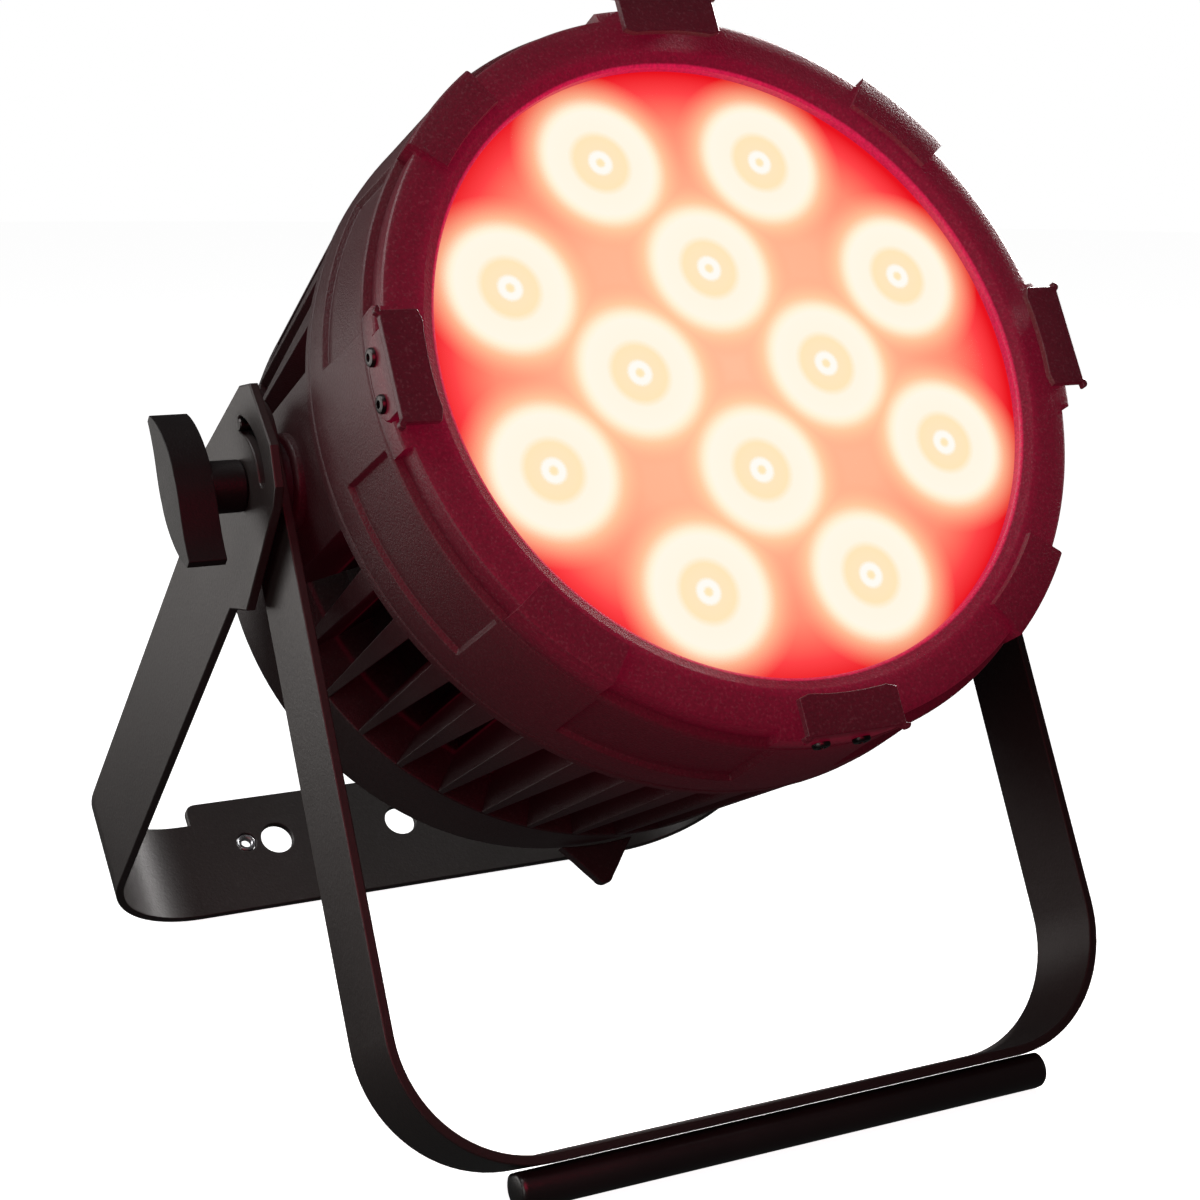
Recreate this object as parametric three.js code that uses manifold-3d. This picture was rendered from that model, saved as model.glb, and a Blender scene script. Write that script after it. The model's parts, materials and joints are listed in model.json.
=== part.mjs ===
// LED par can light on a folding double bracket. Millimetres, +Z up, the lamp faces -Y.
import * as THREE from 'three';
import { mergeVertices } from 'three/addons/utils/BufferGeometryUtils.js';
import Module from 'manifold-3d';

const wasm = await Module();
wasm.setup();

// ---------------------------------------------------------------- driving dimensions
const GAP = 0.3; // running gap between pieces that touch
const DEG = Math.PI / 180;

// Stance. Each tilt turns a group about the pivot axis, from "up is +Y" to the rest pose.
const HEAD_TILT = 29.2; // lamp axis above the horizontal
const FRONT_TILT = 27; // front bracket leans forward and down
const REAR_TILT = -45; // rear bracket leans back and down
const PIVOT_Y = -34.91; // puts the bounding box's centre on y = 0

// Brackets: flat strips bent to a U, measured from the pivot axis.
const STRIP = 3;
const FRONT = { halfSpan: 128.2, reach: 214, width: 29.6, bend: 44, endTop: 12 };
const REAR = { halfSpan: 134.4, width: 40, bend: 42 };
const EAR = { top: 29, shoulder: 21, foot: 28.8, drop: 25, neck: 37 }; // widened ends of the rear bracket's arms
const FOOT = { radius: 6, sunk: 0.5, offset: 7, length: 190 };
const PIVOT_HEIGHT = FOOT.radius + (FRONT.reach + FOOT.radius - FOOT.sunk) * Math.cos(FRONT_TILT * DEG)
  - FOOT.offset * Math.sin(FRONT_TILT * DEG);
REAR.reach = (PIVOT_HEIGHT - (REAR.width / 2) * Math.sin(-REAR_TILT * DEG)) / Math.cos(REAR_TILT * DEG);
const FLANGE = { halfLength: 88, rise: 9, lap: 12, corner: 4 }; // raised middle of the rear bracket's bar
const CLAMP_HOLE = { radius: 6.5, spacing: 54, side: -9 }; // M12 clamp holes in the rear bar
const INSERT = { x: -67, radius: 3.6, bore: 2 }; // small threaded insert beside a clamp hole

// Pivot hardware.
const STUD_RADIUS = 4;
const PIN = { radius: 2, orbit: 18.7, turn: -31 }; // stop pin on the front bracket, in the rear one's slot
const KNOB = { hubRadius: 8, hubLength: 11, wingDepth: 12, wingHalf: 26, lean: 40 };
const WASHER_RADIUS = 13;
const SPACER_RADIUS = 12; // between the two brackets
const BOSS = { radius: 15, face: 121.8 };

// Head, along its own axis from the pivot: +Z forward, +Y up, X across.
const FACE = 80.6; // front plane of the bezel
const RING = { outer: 115.5, mouth: 103.2, lip: 99.1, back: 72.3 };
const TAB_RADIUS = 118.3;
const PAD = { inner: 105, halfAngle: 8.2, rise: 2 };
const RIM_HALF_ANGLE = 10.5;
const COLLAR = { back: 33.3, backRadius: 121, frontRadius: 118.5 };
const PANEL = { count: 8, halfAngle: 13.5, back: 43, front: 70, depth: 2 };
const GLASS = { radius: 104, front: 75.5, back: 71.5 };
const LENS = { radius: 19.4, top: 70.9, foot: 50.2, footRadius: 8 };
const LED_RINGS = [{ count: 8, radius: 74.5, start: 22.5 }, { count: 4, radius: 33, start: 0 }];
const BOARD = { radius: 92, front: 49.8, thickness: 1.8 };
const SINK = { front: 33, back: -52, frontRadius: 121, backRadius: 114.4, core: 86, wall: 5, root: 84,
  cheek: 119.5 };
const RIBS = { count: 44, frontWidth: 7.4, backWidth: 2, bossHalfAngle: 12.3 };
const CAP = { front: -52.3, back: -103, frontRadius: 114.4, backRadius: 108.5, edge: 7, steps: 3, wall: 3,
  mouth: 82 };
const HOLDER = { inner: 106, legInner: 115.8, legOuter: 118.3, legHalf: 12.5, flangeHalf: 16.8,
  back: 72.8, front: 87.8, thickness: 2.4, screwSpread: 7, screwDepth: 77.6, ear: 1.6 };
const LUG = { halfWidth: 14, tip: 125, tipRadius: 3.2, thickness: 4.5, depth: -86 };

// Rear of the head: menu panel, sockets and the electronics inside.
const PANEL_PLATE = { y: 34, halfWidth: 52, halfHeight: 27, thickness: 3, corner: 5 };
const PANEL_BACK = CAP.back - GAP - PANEL_PLATE.thickness;
const BUTTON = { count: 4, radius: 4.5, spacing: 20, drop: -13, length: 3.2, proud: 1.6, edge: 0.6 };
const DISPLAY = { halfWidth: 26, halfHeight: 8.5, rise: 9, thickness: 2.2 };
const CONNECTORS = [
  { name: 'power_in_connector', x: -60, y: -32, radius: 11, length: 15 },
  { name: 'data_in_connector', x: -25, y: -48, radius: 9, length: 13 },
  { name: 'data_out_connector', x: 25, y: -48, radius: 9, length: 13 },
  { name: 'power_out_connector', x: 60, y: -32, radius: 11, length: 15 },
];
const SOCKET_RIM = { extra: 2.5, thickness: 3, taper: 2 };
const VENT = { radius: 6, y: -80, length: 5 };
const SUPPLY = { width: 112, height: 74, depth: 36, z: -24 };
const DRIVER = { width: 120, height: 84, thickness: 1.8, z: 14 };

const SEGMENTS = 56; // round the big turned pieces

// ---------------------------------------------------------------- materials
function material(color, roughness, metalness, extra = {}) {
  return () => new THREE.MeshStandardMaterial({ color, roughness, metalness, ...extra });
}
const powderCoat = material(0x2a2624, 0.62, 0.2);
const bracketCoat = material(0x3a3331, 0.5, 0.3);
const blackRubber = material(0x0b0b0c, 0.55, 0);
const blackPlastic = material(0x151314, 0.4, 0);
const steel = material(0xb9bcc0, 0.3, 1);
const frostedGlass = material(0xff5a48, 0.15, 0, { transparent: true, opacity: 0.45 });
const lensPlastic = material(0xfff0d8, 0.2, 0);
const whiteBoard = material(0xe8e8e2, 0.5, 0);
const greenBoard = material(0x1d5a34, 0.5, 0);
const silicone = material(0x1a1a1c, 0.7, 0);
const panelFilm = material(0x101215, 0.35, 0);
const displayGlass = material(0x0d2238, 0.1, 0);

// ---------------------------------------------------------------- solids
function solidOf(geometry) {
  const bare = geometry.clone();
  for (const name of ['normal', 'uv']) {
    bare.deleteAttribute(name);
  }
  const welded = mergeVertices(bare, 1e-4);
  return new wasm.Manifold(new wasm.Mesh({
    numProp: 3,
    vertProperties: new Float32Array(welded.attributes.position.array),
    triVerts: new Uint32Array(welded.index.array),
  }));
}

function geometryOf(solid) {
  const mesh = solid.getMesh();
  const geometry = new THREE.BufferGeometry();
  geometry.setAttribute('position', new THREE.BufferAttribute(new Float32Array(mesh.vertProperties), 3));
  geometry.setIndex(new THREE.BufferAttribute(new Uint32Array(mesh.triVerts), 1));
  const faceted = geometry.toNonIndexed();
  faceted.computeVertexNormals();
  return faceted;
}

function joined(...geometries) {
  return geometries.map(solidOf).reduce((whole, piece) => whole.add(piece));
}

function cutBy(solid, tools) {
  return tools.map(solidOf).reduce((whole, tool) => whole.subtract(tool), solid);
}

// A body of revolution about Z. Each profile point is [radius, z], in either order round the outline.
function turned(profile, segments = SEGMENTS) {
  const points = profile.map(([radius, z]) => new THREE.Vector2(radius, z));
  if (THREE.ShapeUtils.area(points) < 0) {
    points.reverse();
  }
  return new THREE.LatheGeometry(points, segments).rotateX(Math.PI / 2);
}

function disc(radius, back, front, segments = SEGMENTS) {
  return turned([[0, back], [radius, back], [radius, front], [0, front]], segments);
}

function ring(inner, outer, back, front, segments = SEGMENTS) {
  return turned([[inner, back], [outer, back], [outer, front], [inner, front], [inner, back]], segments);
}

function rodAlongX(radius, from, to, segments = 16) {
  const rod = new THREE.CylinderGeometry(radius, radius, Math.abs(to - from), segments);
  return rod.rotateZ(Math.PI / 2).translate((from + to) / 2, 0, 0);
}

function box(width, height, depth, x, y, z) {
  return new THREE.BoxGeometry(width, height, depth).translate(x, y, z);
}

function extruded(shape, depth, curveSegments = 6) {
  return new THREE.ExtrudeGeometry(shape, { depth, bevelEnabled: false, curveSegments });
}

// A block of an annulus between two angles about Z, from z = back to z = front.
function sector(inner, outer, centre, halfAngle, back, front, curveSegments = 4) {
  const shape = new THREE.Shape();
  shape.absarc(0, 0, outer, (centre - halfAngle) * DEG, (centre + halfAngle) * DEG, false);
  shape.absarc(0, 0, inner, (centre + halfAngle) * DEG, (centre - halfAngle) * DEG, true);
  shape.closePath();
  return extruded(shape, front - back, curveSegments).translate(0, 0, back);
}

function roundedBar(halfWidth, halfHeight, corner) {
  const shape = new THREE.Shape();
  const w = halfWidth - corner;
  const h = halfHeight - corner;
  shape.absarc(w, h, corner, 0, 90 * DEG, false);
  shape.absarc(-w, h, corner, 90 * DEG, 180 * DEG, false);
  shape.absarc(-w, -h, corner, 180 * DEG, 270 * DEG, false);
  shape.absarc(w, -h, corner, 270 * DEG, 360 * DEG, false);
  shape.closePath();
  return shape;
}

function named(name, geometry, paint) {
  const mesh = new THREE.Mesh(geometry, paint());
  mesh.name = name;
  return mesh;
}

// ---------------------------------------------------------------- groups that share the pivot axis
function pivotGroup(tilt) {
  const group = new THREE.Group();
  group.position.set(0, PIVOT_Y, PIVOT_HEIGHT);
  group.rotation.x = (90 - tilt) * DEG;
  return group;
}
const parLight = new THREE.Group();
const head = pivotGroup(HEAD_TILT);
const frontGroup = pivotGroup(FRONT_TILT);
const rearGroup = pivotGroup(REAR_TILT);
parLight.add(head, frontGroup, rearGroup);

const SIDES = [{ name: 'left', sign: -1 }, { name: 'right', sign: 1 }];
const HOLDER_PLACES = [
  { name: 'right', angle: 0 }, { name: 'top', angle: 90 },
  { name: 'left', angle: 180 }, { name: 'bottom', angle: 270 },
];

// ---------------------------------------------------------------- bezel, glass and collar
function bezelRing() {
  const body = turned([
    [RING.lip, GLASS.front + GAP], [RING.lip, FACE - 2], [RING.mouth, FACE],
    [RING.outer - 1, FACE], [RING.outer, FACE - 1], [RING.outer, RING.back],
    [GLASS.radius + 1, RING.back], [GLASS.radius + 1, GLASS.front + GAP], [RING.lip, GLASS.front + GAP],
  ]);
  const additions = [];
  const cuts = [];
  for (const { angle } of HOLDER_PLACES) {
    additions.push(sector(PAD.inner, TAB_RADIUS, angle + 45, PAD.halfAngle, RING.back, FACE + PAD.rise));
    additions.push(sector(RING.outer - 4, TAB_RADIUS, angle, RIM_HALF_ANGLE, RING.back, FACE));
    const pocketDepth = TAB_RADIUS - RING.outer + 4;
    const pocketWidth = 2 * (HOLDER.legHalf + GAP);
    const pocket = box(pocketDepth, pocketWidth, 12, RING.outer + pocketDepth / 2, 0, FACE - 2);
    cuts.push(pocket.rotateZ(angle * DEG));
    for (const spread of [-HOLDER.screwSpread, HOLDER.screwSpread]) {
      const hole = rodAlongX(1.7, RING.outer - 6, RING.outer + 6, 8).translate(0, spread, HOLDER.screwDepth);
      cuts.push(hole.rotateZ(angle * DEG));
    }
  }
  return geometryOf(cutBy(joined(body, ...additions), cuts));
}

function frontHousing() {
  const body = turned([
    [COLLAR.backRadius - 6, COLLAR.back], [COLLAR.backRadius, COLLAR.back],
    [COLLAR.frontRadius, RING.back - GAP], [GLASS.radius + 1.2, RING.back - GAP],
    [GLASS.radius + 1.2, GLASS.back - 2.6], [97, GLASS.back - 2.6], [97, GLASS.back - 6],
    [112, 58], [COLLAR.backRadius - 6, COLLAR.back],
  ]);
  const taper = (COLLAR.backRadius - COLLAR.frontRadius) / (RING.back - GAP - COLLAR.back);
  const floorAt = (z) => COLLAR.backRadius - taper * (z - COLLAR.back) - PANEL.depth;
  const cuts = [];
  for (let i = 0; i < PANEL.count; i += 1) {
    const centre = (360 / PANEL.count) * (i + 0.5);
    const tool = sector(floorAt(PANEL.front), 130, centre, PANEL.halfAngle, PANEL.back, PANEL.front, 5);
    const widen = floorAt(PANEL.back) / floorAt(PANEL.front);
    const position = tool.attributes.position;
    for (let v = 0; v < position.count; v += 1) {
      const scale = position.getZ(v) < PANEL.back + 1 ? widen : 1;
      position.setXYZ(v, position.getX(v) * scale, position.getY(v) * scale, position.getZ(v));
    }
    cuts.push(tool);
  }
  return geometryOf(cutBy(joined(body), cuts));
}

head.add(named('bezel_ring', bezelRing(), powderCoat));
head.add(named('front_housing', frontHousing(), powderCoat));
head.add(named('front_glass', disc(GLASS.radius, GLASS.back, GLASS.front), frostedGlass));
head.add(named('glass_gasket', ring(98, GLASS.radius, GLASS.back - 2.3, GLASS.back - GAP, 48), silicone));

// ---------------------------------------------------------------- accessory holders and their screws
function accessoryHolder() {
  const legWidth = 2 * HOLDER.legHalf;
  const legDepth = HOLDER.front - HOLDER.back;
  const leg = box(HOLDER.legOuter - HOLDER.legInner, legWidth, legDepth,
    (HOLDER.legOuter + HOLDER.legInner) / 2, 0, (HOLDER.front + HOLDER.back) / 2);
  const flangeBack = HOLDER.front - HOLDER.thickness;
  const flange = box(HOLDER.legOuter - HOLDER.inner, 2 * HOLDER.flangeHalf, HOLDER.thickness,
    (HOLDER.legOuter + HOLDER.inner) / 2, 0, flangeBack + HOLDER.thickness / 2);
  const ears = [-1, 1].map((sign) => disc(HOLDER.ear, flangeBack, HOLDER.front, 12)
    .translate(HOLDER.legOuter - 0.4, sign * (HOLDER.flangeHalf - HOLDER.ear + 0.5), 0));
  const holes = [-1, 1].map((sign) => rodAlongX(1.7, HOLDER.legInner - 2, HOLDER.legOuter + 2, 8)
    .translate(0, sign * HOLDER.screwSpread, HOLDER.screwDepth));
  return geometryOf(cutBy(joined(leg, flange, ...ears), holes));
}

function holderScrew() {
  const head0 = HOLDER.legOuter + 0.1;
  return turned([[0, RING.outer - 5], [1.5, RING.outer - 5], [1.5, head0], [2.8, head0],
    [2.8, head0 + 1.4], [0, head0 + 1.4]], 8).rotateY(Math.PI / 2);
}

for (const { name, angle } of HOLDER_PLACES) {
  const place = new THREE.Group();
  place.rotation.z = angle * DEG;
  head.add(place);
  place.add(named(`accessory_holder_${name}`, accessoryHolder(), powderCoat));
  for (const side of [{ tag: 'a', sign: -1 }, { tag: 'b', sign: 1 }]) {
    const screw = named(`holder_screw_${name}_${side.tag}`, holderScrew(), steel);
    screw.position.set(0, side.sign * HOLDER.screwSpread, HOLDER.screwDepth);
    place.add(screw);
  }
}

// ---------------------------------------------------------------- light engine
function ledPlaces() {
  const places = [];
  for (const { count, radius, start } of LED_RINGS) {
    for (let i = 0; i < count; i += 1) {
      const angle = (start + (360 / count) * i) * DEG;
      places.push([radius * Math.cos(angle), radius * Math.sin(angle)]);
    }
  }
  return places;
}

function lensPlate() {
  const back = LENS.top - 8;
  const holes = ledPlaces().map(([x, y]) => {
    const hole = disc(LENS.radius + GAP, back - 2, back + 6, 14);
    return hole.translate(x, y, 0);
  });
  return geometryOf(cutBy(joined(disc(96, back, back + 2, 48)), holes));
}

function lensBody() {
  return turned([[0, LENS.foot], [LENS.footRadius, LENS.foot], [LENS.radius, LENS.top - 3],
    [LENS.radius, LENS.top], [0, LENS.top]], 14);
}

head.add(named('lens_plate', lensPlate(), blackPlastic));
head.add(named('led_board', disc(BOARD.radius, BOARD.front - BOARD.thickness, BOARD.front, 48), whiteBoard));
ledPlaces().forEach(([x, y], i) => {
  const lens = named(`led_lens_${String(i + 1).padStart(2, '0')}`, lensBody(), lensPlastic);
  lens.position.set(x, y, 0);
  head.add(lens);
});

// ---------------------------------------------------------------- ribbed heat sink
function rib(angle) {
  const outerAt = (z) => SINK.backRadius
    + (SINK.frontRadius - SINK.backRadius) * (z - SINK.back) / (SINK.front - SINK.back);
  const frontZ = SINK.front - 2;
  const corners = [];
  for (const [z, width] of [[frontZ, RIBS.frontWidth], [SINK.back, RIBS.backWidth]]) {
    for (const [radius, half] of [[SINK.root, 1], [outerAt(z), width / 2]]) {
      corners.push([radius, -half, z], [radius, half, z]);
    }
  }
  const faces = [
    [0, 3, 1], [0, 2, 3], [4, 5, 7], [4, 7, 6], [0, 5, 4], [0, 1, 5],
    [2, 7, 3], [2, 6, 7], [0, 6, 2], [0, 4, 6], [1, 7, 5], [1, 3, 7],
  ].flat();
  const geometry = new THREE.BufferGeometry();
  const position = faces.flatMap((corner) => corners[corner]);
  geometry.setAttribute('position', new THREE.Float32BufferAttribute(position, 3));
  return geometry.rotateZ(angle * DEG);
}

function heatSink() {
  const baseBack = BOARD.front - BOARD.thickness - GAP - 6;
  const inner = SINK.core - SINK.wall;
  const core = turned([
    [0, baseBack], [inner, baseBack], [inner, SINK.back], [SINK.core, SINK.back],
    [SINK.core, SINK.front - 4], [SINK.frontRadius - 0.4, SINK.front - 4], [SINK.frontRadius, SINK.front],
    [SINK.core + 3, SINK.front], [SINK.core + 3, baseBack + 6], [0, baseBack + 6],
  ]);
  let whole = joined(core);
  for (let i = 0; i < RIBS.count; i += 1) {
    const angle = (360 / RIBS.count) * (i + 0.5);
    const fromPivot = Math.min(Math.abs(angle - 180), angle, 360 - angle);
    if (fromPivot > RIBS.bossHalfAngle) {
      whole = whole.add(solidOf(rib(angle)));
    }
  }
  for (const { sign } of SIDES) {
    const centre = sign > 0 ? 0 : 180;
    const cheek = sector(SINK.root, SINK.cheek, centre, RIBS.bossHalfAngle, -30, SINK.front - 2, 5);
    const boss = rodAlongX(BOSS.radius, sign * 100, sign * BOSS.face, 32);
    const bore = rodAlongX(STUD_RADIUS + 0.4, sign * 108, sign * 130, 20);
    whole = whole.add(solidOf(cheek)).add(solidOf(boss)).subtract(solidOf(bore));
  }
  return geometryOf(whole);
}

head.add(named('heat_sink', heatSink(), powderCoat));

// ---------------------------------------------------------------- rear cap, lug and electronics
function rearCap() {
  const outer = [[CAP.frontRadius, CAP.front]];
  for (let step = 0; step <= CAP.steps; step += 1) {
    const turn = (step / CAP.steps) * 90 * DEG;
    outer.push([
      CAP.backRadius - CAP.edge + CAP.edge * Math.cos(turn),
      CAP.back + CAP.edge - CAP.edge * Math.sin(turn),
    ]);
  }
  const innerRadius = CAP.backRadius - CAP.wall;
  const inner = [
    [0, CAP.back], [0, CAP.back + CAP.wall], [innerRadius - 4, CAP.back + CAP.wall],
    [innerRadius, CAP.back + CAP.wall + 4], [CAP.frontRadius - CAP.wall, CAP.front - CAP.wall],
    [CAP.mouth, CAP.front - CAP.wall], [CAP.mouth, CAP.front], [CAP.frontRadius, CAP.front],
  ];
  return turned([...outer, ...inner]);
}

function lug() {
  const shape = new THREE.Shape();
  const tipY = -LUG.tip + LUG.tipRadius;
  const baseY = -(CAP.backRadius + 1.6);
  shape.moveTo(-LUG.halfWidth, baseY);
  shape.lineTo(-LUG.tipRadius * 0.9, tipY - LUG.tipRadius * 0.45);
  shape.absarc(0, tipY, LUG.tipRadius, 207 * DEG, 333 * DEG, false);
  shape.lineTo(LUG.halfWidth, baseY);
  shape.absarc(0, 0, Math.hypot(LUG.halfWidth, baseY), -90 * DEG + Math.atan(LUG.halfWidth / -baseY),
    -90 * DEG - Math.atan(LUG.halfWidth / -baseY), true);
  return extruded(shape, LUG.thickness, 4).translate(0, 0, LUG.depth - LUG.thickness / 2);
}

function buttonX(index) {
  return (index - (BUTTON.count - 1) / 2) * BUTTON.spacing;
}

function controlPanel() {
  const plate = extruded(roundedBar(PANEL_PLATE.halfWidth, PANEL_PLATE.halfHeight, PANEL_PLATE.corner),
    PANEL_PLATE.thickness, 3).translate(0, PANEL_PLATE.y, PANEL_BACK);
  const window = box(2 * (DISPLAY.halfWidth + GAP), 2 * (DISPLAY.halfHeight + GAP), 10,
    0, PANEL_PLATE.y + DISPLAY.rise, CAP.back);
  const cuts = [window];
  for (let i = 0; i < BUTTON.count; i += 1) {
    const hole = disc(BUTTON.radius + GAP, PANEL_BACK - 2, CAP.back, 16);
    cuts.push(hole.translate(buttonX(i), PANEL_PLATE.y + BUTTON.drop, 0));
  }
  return geometryOf(cutBy(joined(plate), cuts));
}

head.add(named('rear_cap', rearCap(), powderCoat));
head.add(named('rear_lug', lug(), powderCoat));
head.add(named('control_panel', controlPanel(), panelFilm));
head.add(named('display_window', box(2 * DISPLAY.halfWidth, 2 * DISPLAY.halfHeight, DISPLAY.thickness,
  0, PANEL_PLATE.y + DISPLAY.rise, CAP.back - GAP - DISPLAY.thickness / 2 - 0.2), displayGlass));
for (let i = 0; i < BUTTON.count; i += 1) {
  const back = PANEL_BACK - BUTTON.proud;
  const cap = turned([[0, back], [BUTTON.radius - BUTTON.edge, back], [BUTTON.radius, back + BUTTON.edge],
    [BUTTON.radius, back + BUTTON.length], [0, back + BUTTON.length]], 16);
  const button = named(`menu_button_${i + 1}`, cap, blackRubber);
  button.position.set(buttonX(i), PANEL_PLATE.y + BUTTON.drop, 0);
  head.add(button);
}

for (const { name, x, y, radius, length } of CONNECTORS) {
  const top = CAP.back - GAP;
  const barrel = radius - SOCKET_RIM.taper;
  const rim = radius + SOCKET_RIM.extra;
  const body = turned([[0, top - length], [barrel, top - length], [barrel, top - SOCKET_RIM.thickness],
    [rim, top - SOCKET_RIM.thickness], [rim, top], [0, top]], 24);
  const connector = named(name, body, blackPlastic);
  connector.position.set(x, y, 0);
  head.add(connector);
}
const ventBody = disc(VENT.radius, CAP.back - GAP - VENT.length, CAP.back - GAP, 12);
const vent = named('breather_valve', ventBody, blackPlastic);
vent.position.set(0, VENT.y, 0);
head.add(vent);
const supply = box(SUPPLY.width, SUPPLY.height, SUPPLY.depth, 0, 0, SUPPLY.z);
head.add(named('power_supply', supply, steel));
const driver = box(DRIVER.width, DRIVER.height, DRIVER.thickness, 0, 0, DRIVER.z);
head.add(named('driver_board', driver, greenBoard));

// ---------------------------------------------------------------- brackets
// A U seen from the front: X across, +Y up the arms, extruded through the strip's width in Z.
function strapOutline({ halfSpan, reach, bend }, top) {
  const shape = new THREE.Shape();
  const corner = halfSpan - bend;
  const level = bend - reach;
  shape.moveTo(-halfSpan, top);
  shape.absarc(-corner, level, bend, 180 * DEG, 270 * DEG, false);
  shape.absarc(corner, level, bend, 270 * DEG, 360 * DEG, false);
  shape.lineTo(halfSpan, top);
  shape.lineTo(halfSpan - STRIP, top);
  shape.absarc(corner, level, bend - STRIP, 0, -90 * DEG, true);
  shape.absarc(-corner, level, bend - STRIP, -90 * DEG, -180 * DEG, true);
  shape.lineTo(-halfSpan + STRIP, top);
  shape.closePath();
  return shape;
}

// Turns a shape drawn in (Z, Y) into a solid through the whole width of the bracket.
function acrossSpan(shape, span, curveSegments = 8) {
  return extruded(shape, 2 * span, curveSegments).rotateY(-90 * DEG).translate(span, 0, 0);
}

function slotAcross(from, to, span) {
  const shape = new THREE.Shape();
  const outer = PIN.orbit + PIN.radius + 0.5;
  const inner = PIN.orbit - PIN.radius - 0.5;
  shape.absarc(0, 0, outer, from, to, false);
  shape.absarc(PIN.orbit * Math.cos(to), PIN.orbit * Math.sin(to), PIN.radius + 0.5, to, to + Math.PI, false);
  shape.absarc(0, 0, inner, to, from, true);
  shape.absarc(PIN.orbit * Math.cos(from), PIN.orbit * Math.sin(from), PIN.radius + 0.5,
    from + Math.PI, from + 2 * Math.PI, false);
  shape.closePath();
  return acrossSpan(shape, span);
}

function frontBracket() {
  const half = FRONT.width / 2;
  const strap = extruded(strapOutline(FRONT, 30), FRONT.width, 6).translate(0, 0, -half);
  const side = new THREE.Shape();
  side.moveTo(half + 1, -FRONT.reach - 10);
  side.lineTo(half, FRONT.endTop);
  side.absarc(0, FRONT.endTop, half, 0, Math.PI, false);
  side.lineTo(-half - 1, -FRONT.reach - 10);
  side.closePath();
  const solid = solidOf(strap).intersect(solidOf(acrossSpan(side, 200)));
  const pivotHole = rodAlongX(STUD_RADIUS + 0.6, -200, 200);
  const pinHole = rodAlongX(PIN.radius + 0.2, -200, 200, 12).translate(0, PIN.orbit, 0).rotateX(-PIN.turn * DEG);
  return geometryOf(cutBy(solid, [pivotHole, pinHole]));
}

function rearBracket() {
  const half = REAR.width / 2;
  const strap = extruded(strapOutline(REAR, 40), REAR.width, 6).translate(0, 0, -half);
  const ears = SIDES.map(({ sign }) => box(STRIP, EAR.top + EAR.neck, 2 * EAR.foot,
    sign * (REAR.halfSpan - STRIP / 2), (EAR.top - EAR.neck) / 2, 0));
  const side = new THREE.Shape();
  side.moveTo(half, -REAR.reach - 10);
  side.lineTo(half, -EAR.neck);
  side.lineTo(EAR.foot, -EAR.drop);
  side.lineTo(EAR.shoulder, EAR.top * 0.6);
  side.lineTo(EAR.shoulder - 3, EAR.top * 0.8);
  side.lineTo(EAR.shoulder / 3, EAR.top);
  side.lineTo(-EAR.shoulder + 5, EAR.top);
  side.lineTo(-EAR.shoulder, EAR.top * 0.75);
  side.lineTo(-EAR.foot, -EAR.drop);
  side.lineTo(-half, -EAR.neck);
  side.lineTo(-half, -REAR.reach - 10);
  side.closePath();
  const raised = (FLANGE.rise + FLANGE.lap) / 2;
  const flange = extruded(roundedBar(FLANGE.halfLength, raised, FLANGE.corner), STRIP, 2)
    .rotateX(-90 * DEG).translate(0, -REAR.reach, -half - FLANGE.rise + raised);
  const solid = joined(strap, ...ears).intersect(solidOf(acrossSpan(side, 200))).add(solidOf(flange));
  const folded = (90 + PIN.turn) * DEG;
  const spread = (FRONT_TILT - REAR_TILT) * DEG;
  const cuts = [
    rodAlongX(STUD_RADIUS + 0.6, -200, 200),
    slotAcross(folded, folded + spread, 200),
  ];
  for (const x of [-CLAMP_HOLE.spacing, 0, CLAMP_HOLE.spacing]) {
    const hole = new THREE.CylinderGeometry(CLAMP_HOLE.radius, CLAMP_HOLE.radius, 20, 16);
    cuts.push(hole.translate(x, -REAR.reach, CLAMP_HOLE.side));
  }
  const insertHole = new THREE.CylinderGeometry(INSERT.radius + GAP, INSERT.radius + GAP, 20, 16);
  cuts.push(insertHole.translate(INSERT.x, -REAR.reach, CLAMP_HOLE.side));
  return geometryOf(cutBy(solid, cuts));
}

function footBar() {
  const shape = new THREE.Shape();
  const flat = Math.asin((FOOT.radius - FOOT.sunk - GAP) / FOOT.radius);
  shape.absarc(0, 0, FOOT.radius, Math.PI - flat, 2 * Math.PI + flat, false);
  shape.closePath();
  return extruded(shape, FOOT.length, 10).rotateY(-90 * DEG)
    .translate(FOOT.length / 2, -FRONT.reach - FOOT.radius + FOOT.sunk, FOOT.offset);
}

frontGroup.add(named('front_bracket', frontBracket(), bracketCoat));
frontGroup.add(named('foot_bar', footBar(), blackRubber));
rearGroup.add(named('rear_bracket', rearBracket(), bracketCoat));
const insert = ring(INSERT.bore, INSERT.radius, 0, STRIP, 16).rotateX(-90 * DEG);
rearGroup.add(named('thread_insert', insert.translate(INSERT.x, -REAR.reach, CLAMP_HOLE.side), steel));

// ---------------------------------------------------------------- pivot hardware
function wingOutline() {
  const top = KNOB.wingHalf;
  const hub = KNOB.hubRadius;
  const shape = new THREE.Shape();
  shape.moveTo(-1.5, top);
  shape.bezierCurveTo(-7, top * 0.75, -hub - 2, top * 0.3, -hub, 0);
  shape.bezierCurveTo(-hub + 1, -top * 0.35, -2.5, -top * 0.5, -1.5, -top);
  shape.lineTo(1.5, -top);
  shape.bezierCurveTo(7, -top * 0.75, hub + 2, -top * 0.3, hub, 0);
  shape.bezierCurveTo(hub - 1, top * 0.35, 2.5, top * 0.5, 1.5, top);
  shape.closePath();
  return shape;
}

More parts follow.
